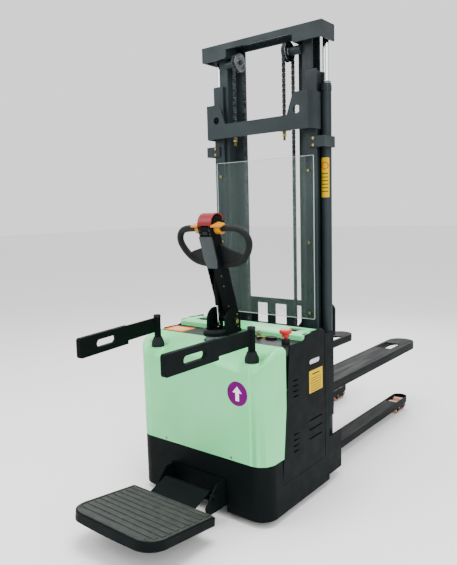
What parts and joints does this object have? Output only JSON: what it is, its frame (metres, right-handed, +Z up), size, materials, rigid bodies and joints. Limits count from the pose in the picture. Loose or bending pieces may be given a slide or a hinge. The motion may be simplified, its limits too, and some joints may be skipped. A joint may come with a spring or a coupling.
{
  "type": "walkie stacker",
  "caption": "Ride-on pallet stacker: straddle legs, raised mast with chain-hung forks, folding operator platform, swinging guard arms and a tilting tiller.",
  "frame": {"origin": "on the floor, in the middle of the machine's length and width", "axes": "+X the operator's right, +Y towards the fork tips, +Z up"},
  "size_m": [0.814, 2.608, 2.353],
  "materials": {
    "mint_paint": "smooth satin powder coat",
    "mast_paint": "satin slate grey paint",
    "black_paint": "fine textured black powder coat",
    "black_plastic": "moulded, light grain",
    "grip_plastic": "moulded, fine grain",
    "boot_rubber": "matt",
    "mat_rubber": "ribbed, matt",
    "roller_polyurethane": "cast, satin",
    "drive_tyre": "cast polyurethane, satin",
    "castor_tyre": "satin",
    "bare_steel": "turned",
    "chain_steel": "oiled",
    "chrome_rod": "polished",
    "zinc_bolt": "yellow zinc plate",
    "clear_screen": "clear sheet",
    "pad_plastic": "natural nylon",
    "stop_red": "gloss",
    "cap_red": "gloss",
    "paddle_orange": "gloss",
    "key_brass": "worn",
    "battery_case": "moulded",
    "motor_paint": "satin"
  },
  "bodies": {
    "base": {"chassis_frame": "black_paint", "support_leg_left": "black_paint", "support_leg_right": "black_paint", "load_roller_axles": "bare_steel", "skirt": "black_paint", "front_cover": "mint_paint", "side_panel_left": "black_paint", "side_panel_right": "black_paint", "control_deck": "black_plastic", "dash_fittings": "black_plastic", "battery_pack": "battery_case", "power_units": "motor_paint", "outer_mast_left": "mast_paint", "outer_mast_right": "mast_paint", "mast_cross_plates": "mast_paint", "mast_slide_pads": "pad_plastic", "lift_cylinder_left": "mast_paint", "lift_cylinder_right": "mast_paint", "cylinder_clamps": "mast_paint", "guard_screen": "clear_screen", "lift_chains_front": "chain_steel", "post_boots": "boot_rubber", "platform_bracket": "black_paint", "fasteners": "zinc_bolt"},
    "inner_mast": {"inner_mast_left": "mast_paint", "inner_mast_right": "mast_paint", "inner_mast_ties": "mast_paint", "piston_rods": "chrome_rod", "chain_wraps": "chain_steel", "lift_chains_rear": "chain_steel"},
    "pulleys": {"chain_pulleys": "bare_steel"},
    "carriage": {"fork_carriage": "mast_paint", "load_backrest": "mast_paint", "fork_left": "mast_paint", "fork_right": "mast_paint"},
    "lower_carriage_rollers": {"carriage_rollers_lower": "bare_steel"},
    "upper_carriage_rollers": {"carriage_rollers_upper": "bare_steel"},
    "steering": {"drive_unit": "motor_paint", "tiller_base": "black_paint"},
    "drive_wheel_body": {"drive_wheel": "drive_tyre"},
    "tiller": {"tiller_arm": "black_paint", "tiller_loop": "grip_plastic"},
    "spring_rod": {"gas_spring_rod": "chrome_rod"},
    "spring_barrel": {"gas_spring_barrel": "black_paint"},
    "belly_button_body": {"belly_button": "cap_red"},
    "paddles": {"throttle_paddles": "paddle_orange"},
    "rocker": {"lift_rocker": "black_plastic"},
    "left_castor": {"castor_fork_left": "bare_steel"},
    "right_castor": {"castor_fork_right": "bare_steel"},
    "left_castor_wheel": {"castor_wheel_left": "castor_tyre"},
    "right_castor_wheel": {"castor_wheel_right": "castor_tyre"},
    "front_load_rollers": {"load_rollers_front": "roller_polyurethane"},
    "rear_load_rollers": {"load_rollers_rear": "roller_polyurethane"},
    "platform": {"platform_tray": "black_paint", "platform_mat": "mat_rubber"},
    "left_guard_arm": {"guard_arm_left": "black_paint"},
    "right_guard_arm": {"guard_arm_right": "black_paint"},
    "stop_button_body": {"stop_button": "stop_red"},
    "key_body": {"key": "key_brass"},
    "lid": {"battery_lid": "mint_paint"}
  },
  "joints": [
    {"name": "mast_lift", "type": "slide", "parent": "base", "child": "inner_mast", "axis": [0, 0, 1], "range_m": [-0.195, 1.25], "deforming": ["lift_chains_front"]},
    {"name": "carriage_lift", "type": "slide", "parent": "inner_mast", "child": "carriage", "axis": [0, 0, 1], "range_m": [-0.195, 1.25], "deforming": ["lift_chains_rear"]},
    {"name": "pulley_turn", "type": "hinge", "parent": "inner_mast", "child": "pulleys", "pos_m": [0, -0.0985, 2.247], "axis": [1, 0, 0], "continuous": true},
    {"name": "lower_roller_spin", "type": "hinge", "parent": "carriage", "child": "lower_carriage_rollers", "pos_m": [0, -0.0533, 0.534], "axis": [1, 0, 0], "continuous": true},
    {"name": "upper_roller_spin", "type": "hinge", "parent": "carriage", "child": "upper_carriage_rollers", "pos_m": [0, -0.0533, 0.726], "axis": [1, 0, 0], "continuous": true},
    {"name": "tiller_steer", "type": "hinge", "parent": "base", "child": "steering", "pos_m": [0, -0.551, 0.25], "axis": [0, 0, 1], "range_deg": [-90, 90]},
    {"name": "drive_wheel_roll", "type": "hinge", "parent": "steering", "child": "drive_wheel_body", "pos_m": [0, -0.551, 0.115], "axis": [1, 0, 0], "continuous": true},
    {"name": "tiller_tilt", "type": "hinge", "parent": "steering", "child": "tiller", "pos_m": [0, -0.464, 0.898], "axis": [1, 0, 0], "range_deg": [0, 55], "stiffness_Nm_per_rad": 30, "springref_deg": -40.11},
    {"name": "gas_spring_swing", "type": "hinge", "parent": "steering", "child": "spring_rod", "pos_m": [-0.022, -0.498, 0.866], "axis": [1, 0, 0], "range_deg": [0, 53]},
    {"name": "gas_spring_slide", "type": "slide", "parent": "spring_rod", "child": "spring_barrel", "axis": [0, -0.0593, 0.9982], "range_m": [-0.0435, 0]},
    {"name": "belly_button_press", "type": "slide", "parent": "tiller", "child": "belly_button_body", "axis": [0, 0.3074, -0.9516], "range_m": [0, 0.006], "stiffness_N_per_m": 1000},
    {"name": "throttle_turn", "type": "hinge", "parent": "tiller", "child": "paddles", "pos_m": [0, -0.56905, 1.36639], "axis": [1, 0, 0], "range_deg": [-28, 28], "stiffness_Nm_per_rad": 2},
    {"name": "lift_rocker_tip", "type": "hinge", "parent": "tiller", "child": "rocker", "pos_m": [0, -0.60118, 1.3455], "axis": [0, -0.3074, 0.9516], "range_deg": [-6, 6], "stiffness_Nm_per_rad": 0.3},
    {"name": "left_castor_swivel", "type": "hinge", "parent": "base", "child": "left_castor", "pos_m": [-0.28, -0.551, 0.24], "axis": [0, 0, 1], "continuous": true},
    {"name": "left_castor_roll", "type": "hinge", "parent": "left_castor", "child": "left_castor_wheel", "pos_m": [-0.28, -0.581, 0.0625], "axis": [1, 0, 0], "continuous": true},
    {"name": "right_castor_swivel", "type": "hinge", "parent": "base", "child": "right_castor", "pos_m": [0.28, -0.551, 0.24], "axis": [0, 0, 1], "continuous": true},
    {"name": "right_castor_roll", "type": "hinge", "parent": "right_castor", "child": "right_castor_wheel", "pos_m": [0.28, -0.581, 0.0625], "axis": [1, 0, 0], "continuous": true},
    {"name": "front_load_roll", "type": "hinge", "parent": "base", "child": "front_load_rollers", "pos_m": [0, 1.192, 0.041], "axis": [1, 0, 0], "continuous": true},
    {"name": "rear_load_roll", "type": "hinge", "parent": "base", "child": "rear_load_rollers", "pos_m": [0, 1.104, 0.041], "axis": [1, 0, 0], "continuous": true},
    {"name": "platform_fold", "type": "hinge", "parent": "base", "child": "platform", "pos_m": [0, -0.796, 0.135], "axis": [-1, 0, 0], "range_deg": [-7.4, 82.6]},
    {"name": "left_guard_swing", "type": "hinge", "parent": "base", "child": "left_guard_arm", "pos_m": [-0.3, -0.658, 0.7], "axis": [0, 0, 1], "range_deg": [-8.5, 21.5]},
    {"name": "right_guard_swing", "type": "hinge", "parent": "base", "child": "right_guard_arm", "pos_m": [0.3, -0.658, 0.7], "axis": [0, 0, 1], "range_deg": [-30, 0]},
    {"name": "stop_press", "type": "slide", "parent": "base", "child": "stop_button_body", "axis": [0, 0, -1], "range_m": [0, 0.006]},
    {"name": "key_turn", "type": "hinge", "parent": "base", "child": "key_body", "pos_m": [0.182, -0.434, 0.83], "axis": [0, 0, 1], "range_deg": [-75, 0]},
    {"name": "lid_open", "type": "hinge", "parent": "base", "child": "lid", "pos_m": [0, -0.18, 0.8183], "axis": [-1, 0, 0], "range_deg": [0, 80]}
  ],
  "couplings": [
    {"joint": "carriage_lift", "follows": "mast_lift", "ratio": 1},
    {"joint": "pulley_turn", "follows": "mast_lift", "rad_per_m": 22.573},
    {"joint": "lower_roller_spin", "follows": "mast_lift", "rad_per_m": -33.333},
    {"joint": "upper_roller_spin", "follows": "mast_lift", "rad_per_m": -33.333},
    {"joint": "gas_spring_swing", "follows": "tiller_tilt", "ratio": 0.96},
    {"joint": "gas_spring_slide", "follows": "tiller_tilt", "m_per_rad": -0.0443}
  ]
}
